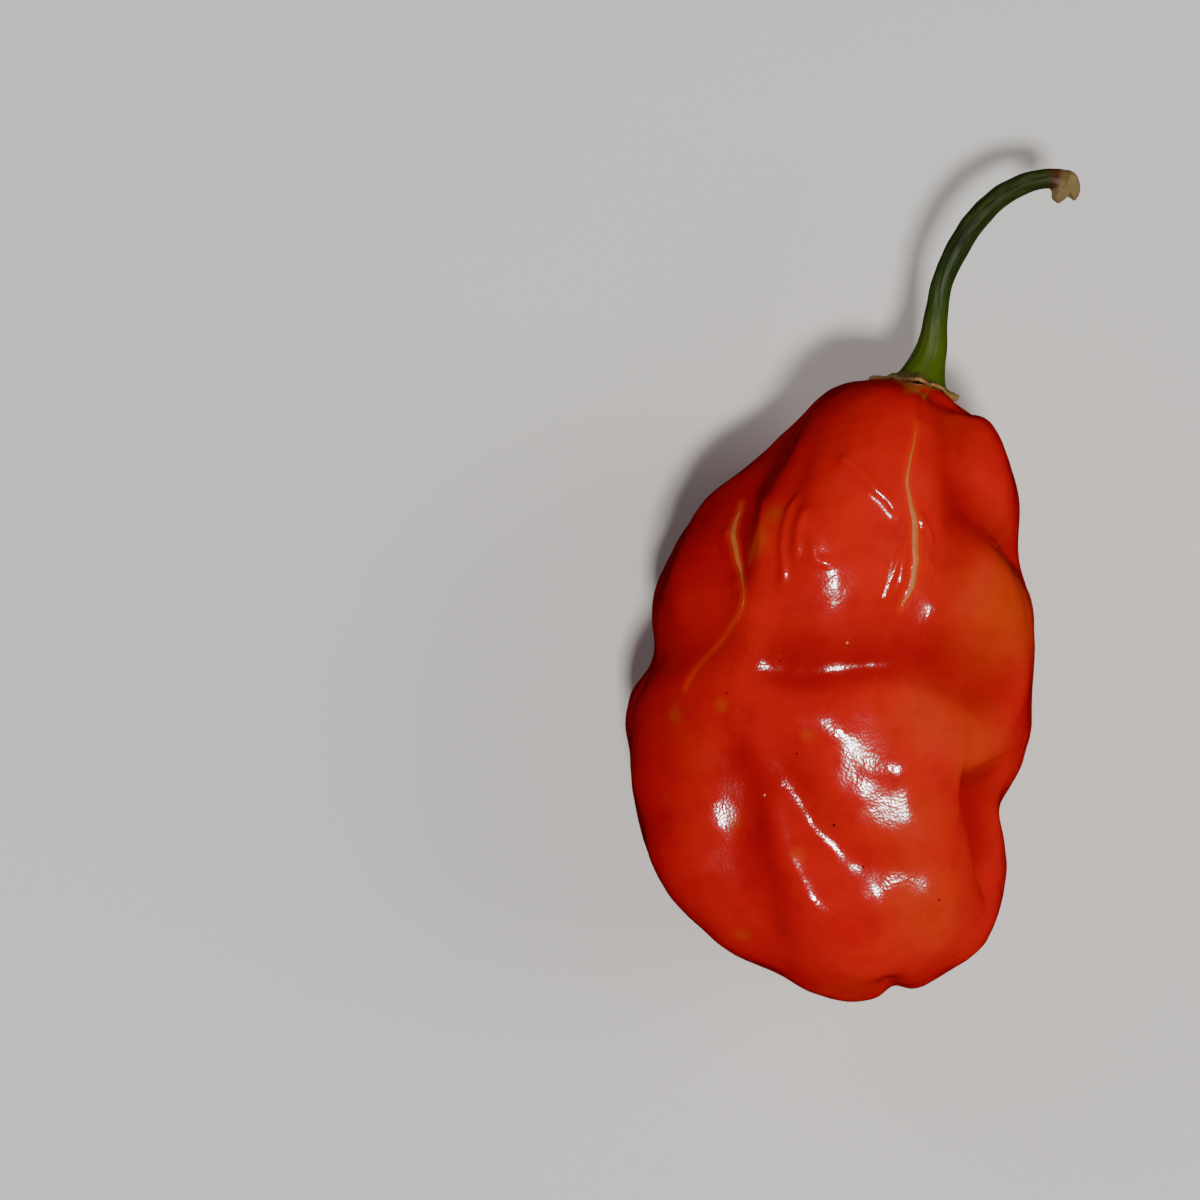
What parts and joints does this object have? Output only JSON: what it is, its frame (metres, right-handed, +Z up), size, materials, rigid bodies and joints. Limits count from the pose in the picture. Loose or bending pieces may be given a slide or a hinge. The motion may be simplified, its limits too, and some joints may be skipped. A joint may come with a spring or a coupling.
{
  "type": "chilli pepper",
  "caption": "Lobed, wrinkled lantern-shaped chilli pepper lying on its side, glossy red-orange skin with corky stretch lines, small dry calyx and a curved green cut stem.",
  "frame": {"origin": "centre of the bounding box, on the surface that the pepper lies on", "axes": "+Z up, +Y from the blossom end of the pod to the stem, +X to the right of the pod seen from above with the stem away from the viewer"},
  "size_m": [0.0428, 0.079, 0.0367],
  "materials": {
    "skin": "glossy waxy skin, red to orange-red",
    "calyx": "dry, crinkled, brownish olive",
    "stem": "satin green, tan and fibrous at the torn end"
  },
  "bodies": {
    "root": {"pod": "skin", "calyx": "calyx", "stem": "stem"}
  },
  "joints": []
}
